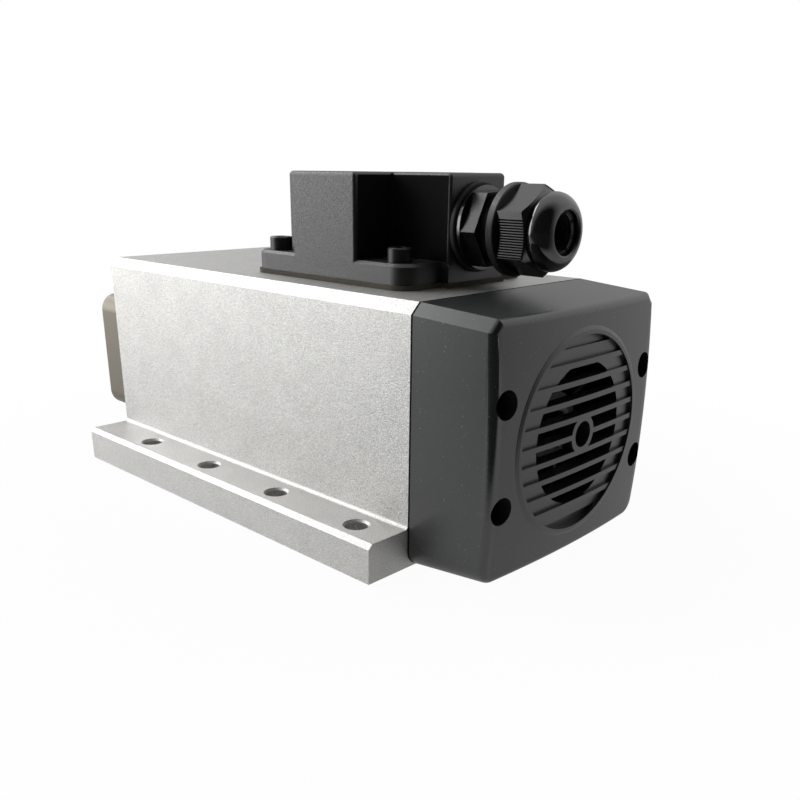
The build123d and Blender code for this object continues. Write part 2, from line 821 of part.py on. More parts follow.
with BuildPart() as cover_cavity:
    add(cover_outline(x_rear, cover_wall))
    add(cover_outline(x_cover_end, cover_wall + cover_shrink))
    loft(ruled=True)
    with Locations((dome_centre, 0, axis_height)):
        Sphere(cover_dome_radius - cover_rear_wall, rotation=seam_away, mode=Mode.INTERSECT)
    with BuildSketch(across_spindle(x_shield)):
        with GridLocations(2 * cover_screw_y, 2 * cover_screw_z, 2, 2):
            Circle(cover_post / 2)
    extrude(amount=cover_length, mode=Mode.SUBTRACT)

with BuildPart() as grille_recess:
    with BuildSketch(across_spindle(x_cover_end - 2 * cover_rear_wall)):
        Circle(grille_diameter / 2)
        with GridLocations(0, grille_pitch, 1, grille_bars):
            Rectangle(grille_diameter, grille_bar, mode=Mode.SUBTRACT)
        Circle(grille_hub / 2, mode=Mode.SUBTRACT)
    extrude(amount=3 * cover_rear_wall)
    with Locations((dome_centre, 0, axis_height)):
        Sphere(cover_dome_radius - grille_depth, rotation=seam_away, mode=Mode.SUBTRACT)

with BuildPart() as grille_rim:
    with BuildSketch(across_spindle(x_cover_end - cover_rear_wall)):
        Circle(grille_diameter / 2 + grille_rim_width)
        Circle(grille_diameter / 2, mode=Mode.SUBTRACT)
    extrude(amount=2 * cover_rear_wall)
    with Locations((dome_centre, 0, axis_height)):
        Sphere(cover_dome_radius + grille_rim_height, rotation=seam_away, mode=Mode.INTERSECT)

x_head_seat = x_rear + cover_head_seat
with BuildPart() as fan_cover:
    add(cover_outline(x_rear, 0))
    add(cover_outline(x_cover_end, cover_shrink))
    loft(ruled=True)
    with Locations((dome_centre, 0, axis_height)):
        Sphere(cover_dome_radius, rotation=seam_away, mode=Mode.INTERSECT)
    fillet(fan_cover.faces().sort_by(Axis.X)[-1].edges(), cover_rear_round)
    add(cover_cavity.part, mode=Mode.SUBTRACT)
    add(grille_rim.part)
    add(grille_recess.part, mode=Mode.SUBTRACT)
    with BuildSketch(across_spindle(x_cover_end - 2 * cover_rear_wall)):
        Circle(grille_open_diameter / 2)
        with GridLocations(0, grille_pitch, 1, grille_bars):
            Rectangle(grille_diameter, grille_bar, mode=Mode.SUBTRACT)
        Circle(grille_hub / 2, mode=Mode.SUBTRACT)
        Circle(grille_hub_hole / 2)
    extrude(amount=3 * cover_rear_wall, mode=Mode.SUBTRACT)
    with BuildSketch(across_spindle(x_head_seat)):
        with GridLocations(2 * cover_screw_y, 2 * cover_screw_z, 2, 2):
            Circle(cover_counterbore / 2)
    extrude(amount=cover_length, mode=Mode.SUBTRACT)
    with BuildSketch(across_spindle(x_rear)):
        with GridLocations(2 * cover_screw_y, 2 * cover_screw_z, 2, 2):
            Circle(m4_thread / 2 + screw_hole_clearance)
    extrude(amount=cover_length, mode=Mode.SUBTRACT)

with BuildPart() as fan_cover_screws:
    with Locations(*four_places(x_head_seat, cover_screw_y, cover_screw_z, 1)):
        add(
            socket_cap_screw(
                m4_thread, m4_head, m4_head_height, m4_socket, cover_head_seat + screw_engagement
            )
        )


# Junction box: eared base, cross-shaped cap and a threaded boss for the gland
def box_cross(margin, rear):
    """Cross outline of the cap at margin inside its walls, ending at rear."""
    with BuildSketch() as cross:
        with Locations((x_box, 0)):
            Rectangle(box_cross_length - 2 * margin, box_base_width - 2 * margin)
        front = x_box - box_base_length / 2 + margin
        with Locations(((front + rear) / 2, 0)):
            Rectangle(rear - front, box_lobe_width - 2 * margin)
    return cross.sketch


def box_base(margin):
    """Base outline with the lobe under the gland, grown by margin."""
    with BuildSketch() as base:
        with Locations((x_box, 0)):
            RectangleRounded(
                box_base_length + 2 * margin, box_base_width + 2 * margin, box_base_corner + margin
            )
        with Locations(((x_box + x_box_wall + margin) / 2, 0)):
            Rectangle(x_box_wall + margin - x_box, box_lobe_width + 2 * margin)
    return base.sketch


x_boss = x_box_wall - box_boss_length
with BuildPart() as junction_box_gasket:
    with BuildSketch(Plane.XY.offset(body_height)):
        add(box_base(gasket_margin))
        add(box_cross(box_wall, x_boss), mode=Mode.SUBTRACT)
        with Locations((x_box, 0)):
            with GridLocations(2 * box_screw_x, 2 * box_screw_y, 2, 2):
                Circle(m4_thread / 2 + screw_hole_clearance, mode=Mode.SUBTRACT)
    extrude(amount=gasket_thickness)

with BuildPart() as junction_box:
    with BuildSketch(Plane.XY.offset(z_gasket)):
        add(box_base(0))
    extrude(amount=box_ear_thickness)
    chamfer(junction_box.faces().sort_by(Axis.Z)[-1].edges(), box_ear_edge)
    with BuildSketch(Plane.XY.offset(z_gasket)) as cap_outline:
        add(box_cross(0, x_box_wall))
        fillet(cap_outline.vertices(), box_cross_corner)
    extrude(amount=box_height)
    fillet(junction_box.faces().sort_by(Axis.Z)[-1].edges(), box_edge)
    with BuildSketch(Plane.XY.offset(z_gasket)):
        add(box_cross(box_wall, x_boss))
    extrude(amount=box_height - box_wall, mode=Mode.SUBTRACT)
    with BuildSketch(across_gland(x_box_wall)):
        Circle(gland_thread / 2)
    extrude(amount=-box_boss_length, mode=Mode.SUBTRACT)
    with BuildSketch(Plane.XY.offset(z_gasket)):
        with Locations((x_box, 0)):
            with GridLocations(2 * box_screw_x, 2 * box_screw_y, 2, 2):
                Circle(m4_thread / 2 + screw_hole_clearance)
    extrude(amount=box_ear_thickness, mode=Mode.SUBTRACT)

box_screw_length = box_ear_thickness + gasket_thickness + screw_engagement
with BuildPart() as junction_box_screws:
    with Locations(Plane(origin=(x_box, 0, z_ear))):
        with GridLocations(2 * box_screw_x, 2 * box_screw_y, 2, 2):
            add(socket_cap_screw(m4_thread, m4_head, m4_head_height, m4_socket, box_screw_length))

# Terminal block with its clamping screws and the winding leads that reach it
terminal_width = terminal_poles * lead_pitch
with BuildPart() as terminal_block:
    with BuildSketch(Plane.XY.offset(body_height)):
        with Locations((x_terminal, 0)):
            Rectangle(terminal_length, terminal_width)
    extrude(amount=terminal_height)
    with BuildSketch(Plane.XY.offset(body_height)):
        with Locations((x_terminal, 0)):
            Rectangle(terminal_length, terminal_width + 2 * terminal_ear)
    extrude(amount=terminal_ear_thickness)
    with BuildSketch(Plane.XY.offset(body_height + terminal_height)):
        with Locations((x_terminal, 0)):
            with GridLocations(terminal_length, lead_pitch, 1, terminal_poles):
                Rectangle(terminal_length, lead_pitch - terminal_partition)
    extrude(amount=-terminal_way_depth, mode=Mode.SUBTRACT)
    with BuildSketch(Plane.XY.offset(body_height)):
        with Locations((x_terminal, -terminal_screw_y), (x_terminal, terminal_screw_y)):
            Circle(m3_thread / 2 + screw_hole_clearance)
    extrude(amount=terminal_ear_thickness, mode=Mode.SUBTRACT)

with BuildPart() as terminal_screws:
    clamp_level = body_height + terminal_height - terminal_way_depth
    with BuildSketch(Plane.XY.offset(clamp_level)):
        with Locations((x_terminal, 0)):
            with GridLocations(terminal_length / 2, lead_pitch, 2, terminal_poles):
                Circle(clamp_screw / 2)
                Rectangle(clamp_screw, clamp_screw_slot, mode=Mode.SUBTRACT)
    extrude(amount=clamp_screw_height)
    with Locations(Plane.XY.offset(body_height + terminal_ear_thickness)):
        with Locations((x_terminal, -terminal_screw_y), (x_terminal, terminal_screw_y)):
            add(
                socket_cap_screw(
                    m3_thread, m3_head, terminal_screw_head_height, m3_socket, terminal_screw_length
                )
            )

with BuildPart() as motor_leads:
    lead_level = body_height + gasket_thickness + lead_rise
    x_terminal_face = x_terminal + terminal_length / 2 + terminal_gap
    for number in range(lead_count):
        y = (number - (lead_count - 1) / 2) * lead_pitch
        y_near = max(abs(y) - lead_diameter / 2, 0)
        winding_rise = sqrt((winding_inner + winding_wall) ** 2 - y_near**2)
        z_start = axis_height + winding_rise + lead_start_gap
        with BuildLine() as route:
            FilletPolyline(
                (x_leads, y, z_start), (x_leads, y, lead_level), (x_terminal_face, y, lead_level),
                radius=lead_bend,
            )
        with BuildSketch(Plane(origin=route.line @ 0, z_dir=route.line % 0)):
            Circle(lead_diameter / 2)
        sweep(path=route.wires()[0])

# Cable gland, from the sealing washer outwards
x_washer_end = x_box_wall + gland_washer_thickness
x_hex = x_washer_end + gland_flange_thickness
x_hex_end = x_hex + gland_hex_length
x_thread_end = x_hex_end + gland_front_thread
x_cap_nut = x_hex_end + gland_nut_gap
x_cap_nut_end = x_cap_nut + gland_nut_length
gland_male = gland_thread / 2 - thread_clearance

with BuildPart() as gland_washer:
    with BuildSketch(across_gland(x_box_wall)):
        Circle(gland_washer_diameter / 2)
        Circle(gland_thread / 2, mode=Mode.SUBTRACT)
    extrude(amount=gland_washer_thickness)
    fillet(gland_washer.edges().filter_by(GeomType.CIRCLE).sort_by(SortBy.RADIUS)[-2:], gland_edge)

with BuildPart() as gland_body:
    with BuildSketch(across_gland(x_box_wall - gland_stub_length)):
        Circle(gland_male)
    extrude(amount=x_thread_end - x_box_wall + gland_stub_length)
    with BuildSketch(across_gland(x_washer_end)):
        Circle(gland_flange / 2)
    extrude(amount=gland_flange_thickness)
    with BuildSketch(across_gland(x_hex)):
        RegularPolygon(gland_hex / 2, 6, major_radius=False, rotation=gland_hex_turn)
    extrude(amount=gland_hex_length)
    with BuildSketch(across_gland(x_box_wall - gland_stub_length)):
        Circle(gland_bore / 2)
    extrude(amount=x_thread_end - x_box_wall + gland_stub_length, mode=Mode.SUBTRACT)
    with BuildSketch(across_gland(x_thread_end)):
        Circle(gland_socket / 2)
    extrude(amount=-gland_socket_depth, mode=Mode.SUBTRACT)

x_seal = x_thread_end - gland_socket_depth + gland_seal_lead
x_claw = x_thread_end + gland_claw_lead
x_claw_end = x_cap_nut_end - gland_claw_inset
x_seal_end = x_claw_end - gland_seal_recess
seal_radius = gland_socket / 2 - gland_slack
claw_radius = gland_male - gland_slack
claw_inner = seal_radius + gland_insert_fit
tip_radius = gland_mouth / 2 + gland_claw_tip
cone_start = x_claw + gland_cone_lead
with BuildPart() as gland_seal:
    with BuildSketch(gland_section):
        Polygon(
            (x_seal, gland_seal_bore / 2),
            (x_seal, seal_radius),
            (cone_start, seal_radius),
            (x_seal_end, tip_radius - gland_claw_wall - gland_layer_gap),
            (x_seal_end, gland_seal_bore / 2),
            align=None,
        )
    revolve(axis=gland_axis)

with BuildPart() as gland_claw:
    with BuildSketch(gland_section):
        Polygon(
            (x_claw, claw_inner),
            (x_claw, claw_radius),
            (cone_start, claw_radius),
            (x_claw_end, tip_radius),
            (x_claw_end, tip_radius - gland_claw_wall),
            (cone_start, claw_inner),
            align=None,
        )
    revolve(axis=gland_axis)
    with BuildSketch(across_gland(x_claw_end)):
        with PolarLocations(claw_radius, gland_claw_fingers):
            Rectangle(2 * claw_radius, gland_claw_slit)
    extrude(amount=-(x_claw_end - x_claw - gland_claw_ring), mode=Mode.SUBTRACT)

x_dome = x_cap_nut + gland_collar_length + gland_nut_hex_length
with BuildPart() as gland_cap_nut:
    with BuildSketch(across_gland(x_cap_nut)):
        Circle(gland_collar / 2)
    extrude(amount=gland_collar_length)
    fillet(gland_cap_nut.edges(), gland_edge)
    with BuildSketch(across_gland(x_cap_nut + gland_collar_length)):
        RegularPolygon(gland_nut_hex / 2, 6, major_radius=False, rotation=30 + gland_nut_turn)
    extrude(amount=x_cap_nut_end - x_cap_nut - gland_collar_length)
    corner_radius = gland_nut_hex / 2 / cos(pi / 6)
    outside = gland_collar
    dome_turn = x_cap_nut_end - gland_dome_round
    with BuildSketch(gland_section):
        with BuildLine():
            Polyline(
                (x_cap_nut, 0),
                (x_cap_nut, outside),
                (x_dome, outside),
                (x_dome, corner_radius - gland_corner_trim),
                (x_dome + gland_shoulder, gland_neck / 2),
            )
            ThreePointArc(
                (x_dome + gland_shoulder, gland_neck / 2),
                ((x_dome + gland_shoulder + dome_turn) / 2, (gland_neck + gland_dome) / 4 + gland_dome_bulge),
                (dome_turn, gland_dome / 2),
            )
            RadiusArc(
                (dome_turn, gland_dome / 2),
                (x_cap_nut_end, gland_dome / 2 - gland_dome_round),
                gland_dome_round,
            )
            Polyline(
                (x_cap_nut_end, gland_dome / 2 - gland_dome_round),
                (x_cap_nut_end, 0),
                (x_cap_nut, 0),
            )
        make_face()
    revolve(axis=gland_axis, mode=Mode.INTERSECT)
    with BuildSketch(gland_section):
        Polygon(
            (x_cap_nut, 0),
            (x_cap_nut, gland_thread / 2 + thread_clearance),
            (cone_start + gland_cone_gap, gland_thread / 2 + thread_clearance),
            (x_claw_end + gland_tip_gap, tip_radius + gland_slack),
            (x_cap_nut_end - gland_lip, gland_mouth / 2),
            (x_cap_nut_end, gland_mouth / 2),
            (x_cap_nut_end, 0),
            align=None,
        )
    revolve(axis=gland_axis, mode=Mode.SUBTRACT)
    facet_width = gland_nut_hex / cos(pi / 6) / 2
    rib_shift = (facet_width - gland_ribs * gland_rib_pitch) / 2
    with BuildSketch(across_gland(x_cap_nut + gland_collar_length)):
        with PolarLocations(gland_nut_hex / 2, gland_rib_facets, start_angle=180 + gland_nut_turn):
            with Locations((0, rib_shift)):
                with GridLocations(0, gland_rib_pitch, 1, gland_ribs):
                    Rectangle(2 * gland_rib_depth, gland_rib_groove)
    extrude(amount=gland_nut_hex_length + gland_shoulder, mode=Mode.SUBTRACT)

nodes = {
    "motor_body": motor_body,
    "front_bearing_block": front_bearing_block,
    "front_block_screws": front_block_screws,
    "front_bearing_cap": front_bearing_cap,
    "front_cap_screws": front_cap_screws,
    "front_bearing_outer_rings": front_bearing_outer_rings,
    "front_bearing_inner_rings": front_bearing_inner_rings,
    "stator_core": stator_core,
    "stator_windings": stator_windings,
    "rotor_core": rotor_core,
    "rotor_cage_rings": rotor_cage_rings,
    "rotor_shaft": rotor_shaft,
    "labyrinth_nut": labyrinth_nut,
    "collet": collet,
    "collet_nut": collet_nut,
    "rear_end_shield": rear_end_shield,
    "rear_bearing_outer_ring": rear_bearing_outer_ring,
    "rear_bearing_inner_ring": rear_bearing_inner_ring,
    "preload_spring": preload_spring,
    "cooling_fan": cooling_fan,
    "fan_circlip": fan_circlip,
    "fan_cover": fan_cover,
    "fan_cover_screws": fan_cover_screws,
    "junction_box_gasket": junction_box_gasket,
    "junction_box": junction_box,
    "junction_box_screws": junction_box_screws,
    "terminal_block": terminal_block,
    "terminal_screws": terminal_screws,
    "motor_leads": motor_leads,
    "gland_washer": gland_washer,
    "gland_body": gland_body,
    "gland_seal": gland_seal,
    "gland_claw": gland_claw,
    "gland_cap_nut": gland_cap_nut,
}

os.makedirs("parts", exist_ok=True)
for name, node in nodes.items():
    node.part.label = name
    export_step(node.part, f"parts/{name}.step")
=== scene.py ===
import json
from math import cos, pi, radians, sin, sqrt

import bpy
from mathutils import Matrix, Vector


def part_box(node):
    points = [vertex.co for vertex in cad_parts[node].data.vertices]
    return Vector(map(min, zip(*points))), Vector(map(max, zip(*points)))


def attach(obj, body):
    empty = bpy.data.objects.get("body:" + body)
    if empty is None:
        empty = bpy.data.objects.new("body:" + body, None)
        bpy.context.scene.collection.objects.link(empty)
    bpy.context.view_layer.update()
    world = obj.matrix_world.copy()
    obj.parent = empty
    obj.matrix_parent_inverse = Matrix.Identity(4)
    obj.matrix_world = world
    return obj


# Looks of the air-cooled motor spindle. Everything is in metres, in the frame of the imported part:
# x runs along the spindle towards its fan, y across it, and z up from the feet.

mm = 0.001

# Heights of the spindle's axis and of the cable gland's.
spindle_height = 36.5 * mm
gland_height = 89.0 * mm

# Stretches of the gland along its axis: the bare thread, the nut's collar and its hexagon.
thread_span = (61.8 * mm, 66.1 * mm)
collar_span = (66.1 * mm, 68.8 * mm)
hexagon_span = (68.8 * mm, 77.8 * mm)

# The fan cover's domed rear face, and the round grille in it.
dome_radius = 400 * mm
dome_top = 93.75 * mm
grille_radius = 27.4 * mm
open_radius = 20.0 * mm
grille_pitch = 5.0 * mm
grille_bar = 1.5 * mm
grille_bars = 9

# Sides of the studio that are less bright in mirror images, and how bright they are there.
dim_corner = (0.72, -0.69, 0.0)
dim_level = 0.03
far_left = (-0.80, 0.60, 0.0)
far_left_level = 0.55

# Strength of the sky as light.
sky_light = 0.08

# The middle range of a noise texture's values.
noise_span = (0.3, 0.7)

# A Mix node has sockets of the same name, so its factor, colours and result go by their place.
mix_factor = 0
mix_first = 6
mix_second = 7
mix_result = 2

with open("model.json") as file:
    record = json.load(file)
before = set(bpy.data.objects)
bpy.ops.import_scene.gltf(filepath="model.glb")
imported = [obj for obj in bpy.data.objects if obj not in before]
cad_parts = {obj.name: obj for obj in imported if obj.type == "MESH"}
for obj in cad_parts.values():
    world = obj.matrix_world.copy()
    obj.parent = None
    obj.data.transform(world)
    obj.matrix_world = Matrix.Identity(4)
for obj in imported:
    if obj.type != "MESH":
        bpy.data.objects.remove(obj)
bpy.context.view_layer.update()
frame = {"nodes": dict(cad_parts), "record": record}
nodes = frame["nodes"]


class Shade:
    """An output socket of a finish. Plain arithmetic on it adds Math nodes."""

    def __init__(self, finish, socket):
        self.finish = finish
        self.socket = socket

    def math(self, operation, *values):
        return self.finish.math(operation, *values)

    def __add__(self, other):
        return self.math("ADD", self, other)

    def __sub__(self, other):
        return self.math("SUBTRACT", self, other)

    def __rsub__(self, other):
        return self.math("SUBTRACT", other, self)

    def __mul__(self, other):
        return self.math("MULTIPLY", self, other)

    def __truediv__(self, other):
        return self.math("DIVIDE", self, other)

    def __pow__(self, other):
        return self.math("POWER", self, other)

    def __gt__(self, other):
        return self.math("GREATER_THAN", self, other)

    def __lt__(self, other):
        return self.math("LESS_THAN", self, other)

    __radd__ = __add__
    __rmul__ = __mul__

    def within(self, low, high):
        """1 between low and high, and 0 elsewhere."""
        return (self > low) * (self < high)


class Finish:
    """The nodes of a material, or of the world, all made by one method."""

    def __init__(self, owner, **constants):
        owner.use_nodes = True
        self.owner = owner
        self.tree = owner.node_tree
        self.shader = self.tree.nodes.get("Principled BSDF")
        self.surface(**constants)

    def node(self, kind, settings=None, inputs=None, output=0):
        """A new node, with its settings first and then the values or links of its sockets."""
        made = self.tree.nodes.new(kind)
        for key, value in (settings or {}).items():
            setattr(made, key, value)
        for key, value in (inputs or {}).items():
            self.plug(made.inputs[key], value)
        return Shade(self, made.outputs[output])

    def math(self, operation, *values):
        return self.node("ShaderNodeMath", {"operation": operation}, dict(enumerate(values)))

    def plug(self, socket, value):
        """Links the socket to a shade, or sets it to a plain value."""
        if isinstance(value, Shade):
            self.tree.links.new(value.socket, socket)
        else:
            socket.default_value = value

    def surface(self, **values):
        """Sets or links the shader's sockets, and gives the material."""
        for socket, value in values.items():
            self.plug(self.shader.inputs[socket.replace("_", " ")], value)
        return self.owner

    def partly(self, share, shader):
        """Lets share of another shader show in place of the finish's own."""
        own = Shade(self, self.shader.outputs[0])
        both = self.node("ShaderNodeMixShader", {}, {0: share, 1: own, 2: shader})
        self.plug(self.tree.nodes["Material Output"].inputs["Surface"], both)

    def partly_painted_shade(self, share):
        """Lets share of a black surface, painted shade, show in place of the finish's own."""
        look = {"Base Color": (0.008, 0.008, 0.008, 1), "Roughness": 0.9, "Specular IOR Level": 0.1}
        self.partly(share, self.node("ShaderNodeBsdfPrincipled", {}, look))

    def looked_at(self):
        """Two values: 1 where the camera looks, and 1 where a mirror image or glass does."""
        camera = self.node("ShaderNodeLightPath", output="Is Camera Ray")
        rays = camera.socket.node.outputs
        mirror = Shade(self, rays["Is Glossy Ray"]) + Shade(self, rays["Is Transmission Ray"])
        return camera, self.math("MINIMUM", mirror, 1.0)

    def measure(self, operation, *vectors):
        """A number from vectors, such as a length."""
        inputs = dict(enumerate(vectors))
        return self.node("ShaderNodeVectorMath", {"operation": operation}, inputs, output="Value")

    def fade(self, where, towards, start, end, level):
        """1 in most of the studio, and the level given towards one side of it."""
        return self.band(self.measure("DOT_PRODUCT", where, towards), start, end, 1.0, level)

    def place(self):
        """Position on the object, in metres, which moves with the piece."""
        return self.node("ShaderNodeTexCoord", output="Object")

    def axes(self):
        """The three coordinates of the position."""
        apart = self.node("ShaderNodeSeparateXYZ", {}, {"Vector": self.place()})
        return [Shade(self, output) for output in apart.socket.node.outputs]

    def direction(self):
        """Direction of the sky, for the world."""
        return self.node("ShaderNodeTexCoord", output="Generated")

    def grain(self, size, detail=2.0, stretch=(1, 1, 1)):
        """Noise from 0 to 1 whose grains are about size across."""
        where = self.node("ShaderNodeMapping", {}, {"Vector": self.place(), "Scale": stretch})
        inputs = {"Vector": where, "Scale": 1 / size, "Detail": detail}
        return self.node("ShaderNodeTexNoise", {}, inputs, output="Fac")

    def band(self, value, low, high, to_low=0.0, to_high=1.0):
        """Value moved from the span low to high onto the span to_low to to_high, clamped."""
        spans = {"Value": value, "From Min": low, "From Max": high, "To Min": to_low, "To Max": to_high}
        return self.node("ShaderNodeMapRange", {"clamp": True}, spans, output="Result")

    def spread(self, noise, to_low, to_high):
        """Noise, which seldom leaves its middle range, spread over to_low to to_high."""
        return self.band(noise, *noise_span, to_low, to_high)

    def mix(self, factor, first, second):
        """Colour between first and second."""
        inputs = {mix_factor: factor, mix_first: opaque(first), mix_second: opaque(second)}
        return self.node("ShaderNodeMix", {"data_type": "RGBA"}, inputs, mix_result)

    def bump(self, height, depth, strength):
        """The surface's direction, with height from 0 to 1 standing up to depth."""
        levels = {"Height": height, "Distance": depth, "Strength": strength}
        return self.node("ShaderNodeBump", {}, levels, output="Normal")


def opaque(colour):
    """The colour with an alpha of 1, where it is three numbers."""
    return (*colour, 1) if isinstance(colour, tuple) else colour


def distance(across, height):
    """Distance from an axis, from the two coordinates at right angles to it."""
    return (across * across + height * height) ** 0.5


def blasted_aluminium():
    """Bead-blasted and clear anodised: pale silver with a fine speckle."""
    grey = (0.37, 0.366, 0.354)
    silver = (0.79, 0.784, 0.765)
    tone_span = (0.36, 0.76)
    cloud_weight = 0.1
    finish = Finish(bpy.data.materials.new("blasted_aluminium"), Metallic=0.7)
    speckle = finish.grain(0.24 * mm, detail=1.0)
    cloud = finish.grain(9 * mm)
    tone = finish.band(speckle + cloud * cloud_weight, *tone_span)
    return finish.surface(
        Base_Color=finish.mix(tone, grey, silver),
        Roughness=finish.spread(speckle, 0.38, 0.50),
        Normal=finish.bump(speckle, 0.14 * mm, strength=0.8),
    )


def champagne_metal():
    """Warm grey satin of the front bearing block."""
    dark = (0.15, 0.134, 0.109)
    pale = (0.19, 0.17, 0.139)
    finish = Finish(bpy.data.materials.new("champagne_metal"), Metallic=0.85)
    streak = finish.grain(0.5 * mm, stretch=(1, 1, 0.12))
    return finish.surface(
        Base_Color=finish.mix(streak, dark, pale),
        Roughness=finish.spread(streak, 0.42, 0.52),
        Normal=finish.bump(streak, 0.01 * mm, strength=0.5),
    )


def copper_winding():
    """Wire of the stator's windings, with its strands along the spindle."""
    dark = (0.30, 0.09, 0.03)
    pale = (0.62, 0.27, 0.11)
    finish = Finish(bpy.data.materials.new("copper_winding"), Metallic=0.9)
    wires = finish.grain(0.9 * mm, stretch=(0.25, 1, 1))
    return finish.surface(
        Base_Color=finish.mix(wires, dark, pale),
        Roughness=finish.spread(wires, 0.25, 0.45),
        Normal=finish.bump(wires, 0.15 * mm, strength=0.8),
    )


def plain_metal(name, dark, pale, rough, metallic=1.0):
    """Metal with a cloudy tone and fine grain."""
    cloud_share = 0.6
    smoothest = rough - 0.05
    roughest = rough + 0.07
    finish = Finish(bpy.data.materials.new(name), Metallic=metallic)
    cloud = finish.grain(3 * mm)
    grain = finish.grain(0.25 * mm)
    return finish.surface(
        Base_Color=finish.mix(cloud * cloud_share + grain * (1 - cloud_share), dark, pale),
        Roughness=finish.spread(grain, smoothest, roughest),
        Normal=finish.bump(grain, 0.01 * mm, strength=0.4),
    )


def machined_steel(name, dark, pale, rough):
    """Turned steel: fine rings round the spindle axis, turned black inside the fan cover as painted
    shade.
    """
    ring = 0.35 * mm
    black = (0.012, 0.012, 0.012)
    painted_shade_fade = (64 * mm, 66 * mm)
    smoothest = rough - 0.05
    roughest = rough + 0.08
    finish = Finish(bpy.data.materials.new(name), Metallic=1.0)
    along, across, up = finish.axes()
    # Painted shade: the steel turns black inside the fan cover.
    painted_shade_inside = finish.band(along, *painted_shade_fade)
    lay = finish.node(
        "ShaderNodeTexNoise",
        {"noise_dimensions": "1D"},
        {"W": (distance(across, up - spindle_height) + along) / ring, "Detail": 2.0, "Scale": 1.0},
        output="Fac",
    )
    return finish.surface(
        Base_Color=finish.mix(painted_shade_inside, finish.mix(lay, dark, pale), black),
        Roughness=finish.spread(lay, smoothest, roughest),
        Normal=finish.bump(lay, 0.01 * mm, strength=0.5),
    )


def moulded_plastic(
    name, dark, pale, etch_size, etch_depth, rough, gloss=0.5, dust=0.0, painted_shade=None, wear=None
):
    """Moulded plastic with an etched grain. It may have dust, places of painted shade, and worn ones."""
    etch_span = (0.35, 0.65)
    cloud_share = 0.3
    speck_size = 0.5 * mm
    speck_span = (0.79, 0.84)
    dust_colour = (0.30, 0.31, 0.30)
    finish = Finish(bpy.data.materials.new(name), Specular_IOR_Level=gloss)
    etch = finish.grain(etch_size, detail=3.0)
    cloud = finish.grain(14 * mm)
    tone = etch * (1 - cloud_share) + cloud * cloud_share
    colour = finish.mix(finish.band(tone, *etch_span), dark, pale)
    if dust:
        specks = finish.band(finish.grain(speck_size, detail=0.0), *speck_span, 0.0, dust)
        colour = finish.mix(specks, colour, dust_colour)
    roughness = finish.band(etch, *etch_span, *rough)
    if wear:
        roughness = roughness * wear(finish)
    # Painted shade: a black surface shows where the mask gives 1.
    if painted_shade:
        finish.partly_painted_shade(painted_shade(finish))
    return finish.surface(
        Base_Color=colour,
        Roughness=roughness,
        Normal=finish.bump(etch, etch_depth, strength=0.8),
    )


def box_recesses(finish):
    """1 on the walls of the two rear screw recesses of the junction box, which get painted shade."""
    box_middle = 18.05 * mm
    rearward_span = (13.4 * mm, 34.9 * mm)
    sideways_span = (11.9 * mm, 25.6 * mm)
    recess_floor = 80.1 * mm
    along, across, up = finish.axes()
    rearward = (along - box_middle).within(*rearward_span)
    sideways = finish.math("ABSOLUTE", across).within(*sideways_span)
    return rearward * sideways * (up > recess_floor)


def gland_grooves(finish):
    """Share of painted shade on the gland: in its rib grooves and on its bare thread, and in part on the
    nut's lower side.
    """
    ribbed_facets = (184, 304, 424)
    groove_span = (9.88 * mm, 10.4 * mm)
    ribbed_span = (-4.2 * mm, 6.05 * mm)
    collar_fade = (1.0 * mm, 7.0 * mm)
    underside_fade = (-8.0 * mm, -6.0 * mm)
    lower_share = 0.7
    along, across, up = finish.axes()
    height = up - gland_height
    hexagon = along.within(*hexagon_span)
    grooves = 0.0
    for facet in ribbed_facets:
        sine = sin(radians(facet))
        cosine = cos(radians(facet))
        outward = (across * cosine + height * sine).within(*groove_span)
        sideways = (height * cosine - across * sine).within(*ribbed_span)
        grooves = grooves + outward * sideways
    thread = along.within(*thread_span)
    collar = finish.band(height, *collar_fade, lower_share, 0.0) * along.within(*collar_span)
    underside = finish.band(height, *underside_fade, lower_share, 0.0) * hexagon
    return finish.math("MINIMUM", grooves * hexagon + thread + collar + underside, 1.0)


def gland_wear(finish):
    """Roughness factor of the gland: a dull collar, a polished dome, a dull ring round its mouth."""
    flange_radius = 11.0 * mm
    flange_rougher = 1.6
    dome_start = 76.6 * mm
    dome_inside = 8.2 * mm
    dome_smoother = 0.5
    mouth_start = 82.5 * mm
    mouth_fade = (7.4 * mm, 8.0 * mm)
    mouth_rougher = 0.6
    along, across, up = finish.axes()
    radius = distance(across, up - gland_height)
    collar = 1 + along.within(*collar_span) * (radius > flange_radius) * flange_rougher
    polish = 1 - (along > dome_start) * (radius > dome_inside) * dome_smoother
    mouth = 1 + finish.band(radius, *mouth_fade, 1.0, 0.0) * (along > mouth_start) * mouth_rougher
    return collar * polish * mouth


def cover_seam(finish):
    """1 on the narrow edge where the fan cover meets the housing, which lies in shadow."""
    seam_end = 66.35 * mm
    return finish.axes()[0] < seam_end


def cover_wear(finish):
    """Roughness factor of the fan cover: its upright rear edges are polished by handling."""
    rear_fade = (88.8 * mm, 89.6 * mm)
    side_fade = (35.0 * mm, 35.8 * mm)
    smoother = 0.72
    along, across, up = finish.axes()
    rear = finish.band(along, *rear_fade)
    side = finish.band(finish.math("ABSOLUTE", across), *side_fade)
    return 1 - side * rear * smoother


materials = {
    "anodised_aluminium": blasted_aluminium(),
    "champagne_metal": champagne_metal(),
    "copper_winding": copper_winding(),
}

